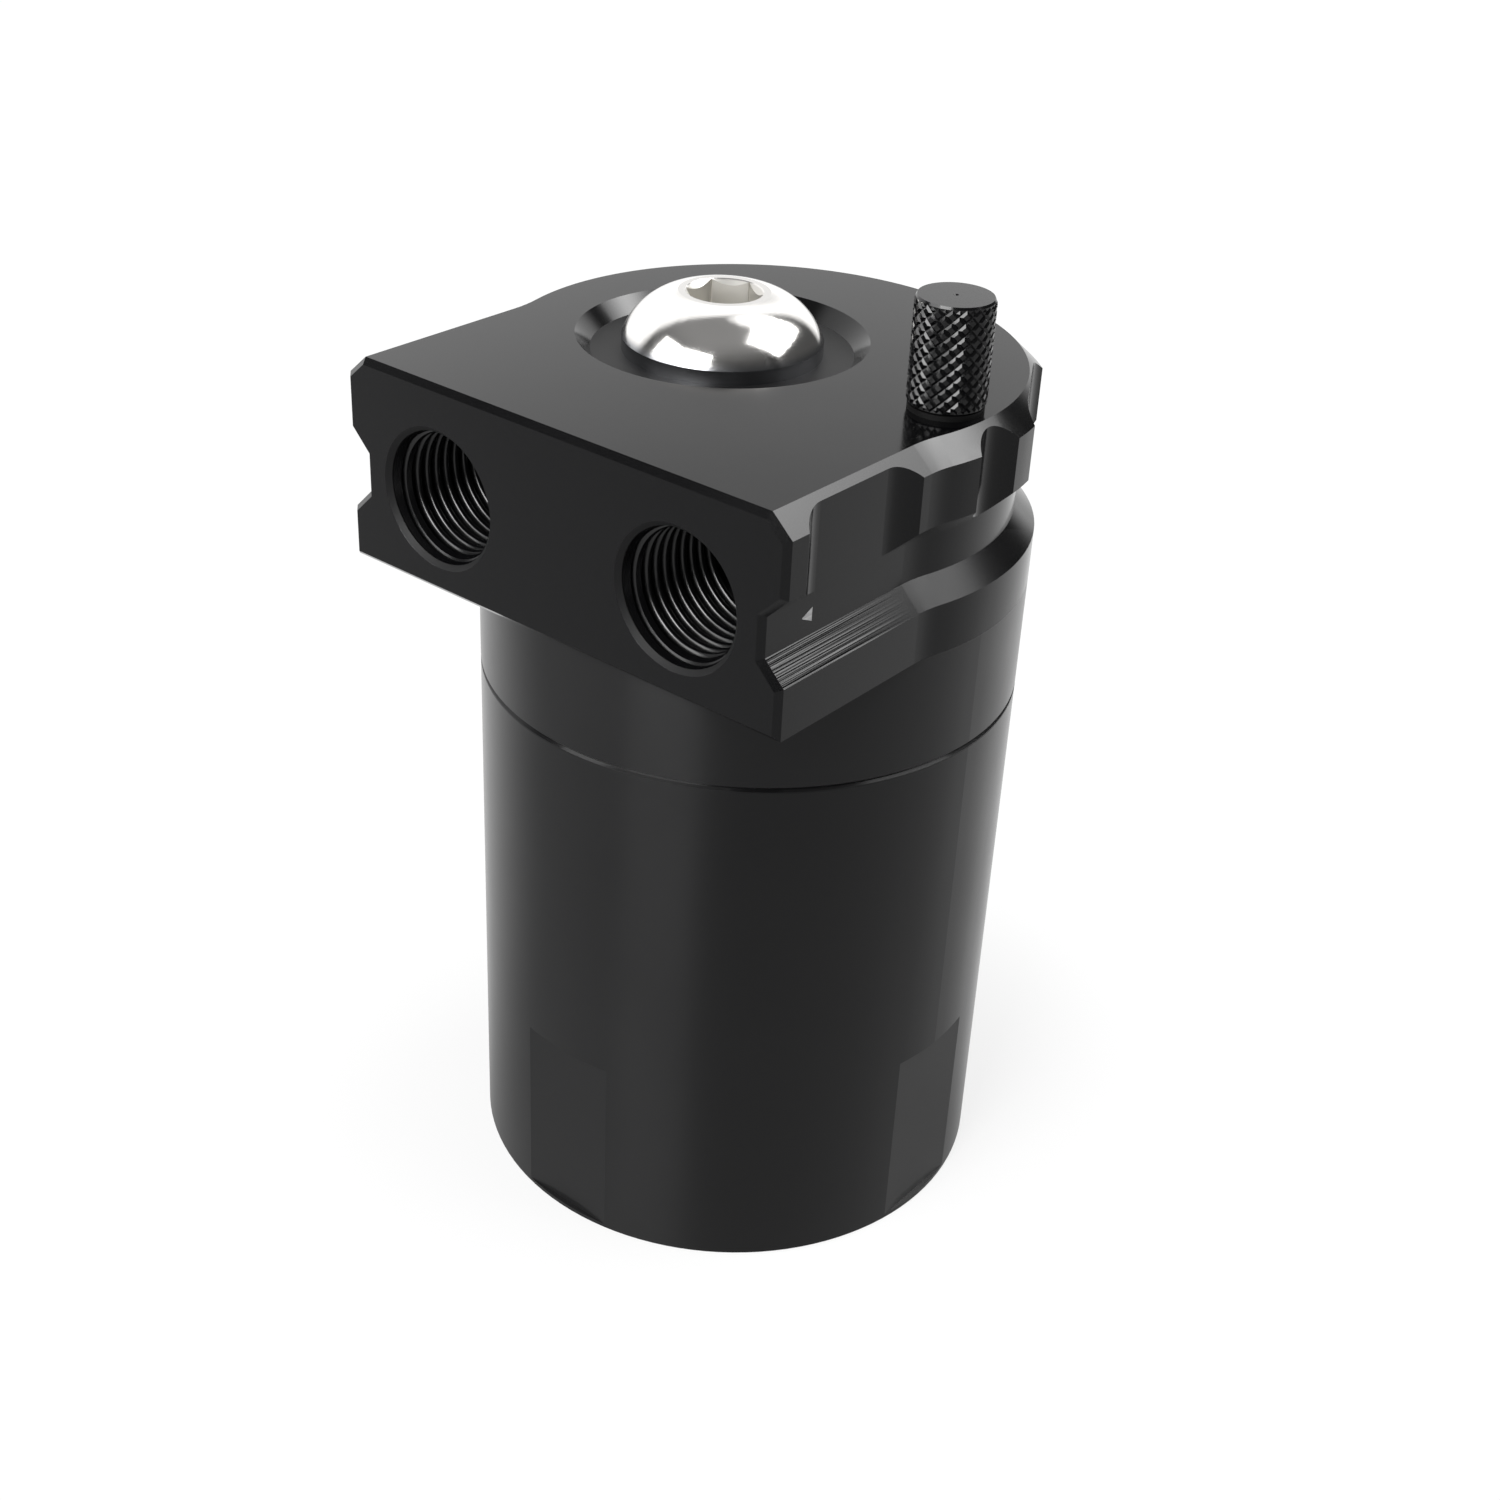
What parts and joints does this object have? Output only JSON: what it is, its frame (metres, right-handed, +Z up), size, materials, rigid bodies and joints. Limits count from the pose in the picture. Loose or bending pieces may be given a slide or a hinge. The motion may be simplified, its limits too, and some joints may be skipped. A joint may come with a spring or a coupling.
{
  "type": "oil_catch_can",
  "caption": "Black anodised oil catch can: a round can screwed under a billet head with side-by-side hose ports, a bracket bolt and a knurled dipstick.",
  "frame": {"origin": "middle of the can's foot, on the can's axis, on the table", "axes": "+Z up along the can's axis, -Y out of the two hose ports, +X to the right seen from the port side, where the dipstick stands"},
  "size_m": [0.076, 0.0786, 0.1397],
  "materials": {
    "black_anodised": "satin",
    "knob_anodised": "satin",
    "polished_stainless": "polished",
    "drawn_stainless": "satin",
    "plain_aluminium": "satin",
    "zinc_steel": "satin",
    "nitrile_rubber": "matte",
    "wire_mesh": "matte"
  },
  "bodies": {
    "can": {"can": "black_anodised"},
    "head": {"head": "black_anodised", "can_seal": "nitrile_rubber", "bracket_bolt": "polished_stainless", "inlet_tube": "plain_aluminium", "baffle_plate": "plain_aluminium", "baffle_spacers": "plain_aluminium", "baffle_screws": "zinc_steel", "coalescing_mesh": "wire_mesh"},
    "dipstick": {"dipstick_knob": "knob_anodised", "dipstick_rod": "drawn_stainless", "dipstick_seal": "nitrile_rubber"}
  },
  "joints": [
    {"name": "head_lift", "type": "slide", "parent": "can", "child": "head", "axis": [0, 0, 1], "range_m": [0, 0.08]},
    {"name": "dipstick_draw", "type": "slide", "parent": "head", "child": "dipstick", "axis": [0, 0, 1], "range_m": [0, 0.12]}
  ]
}
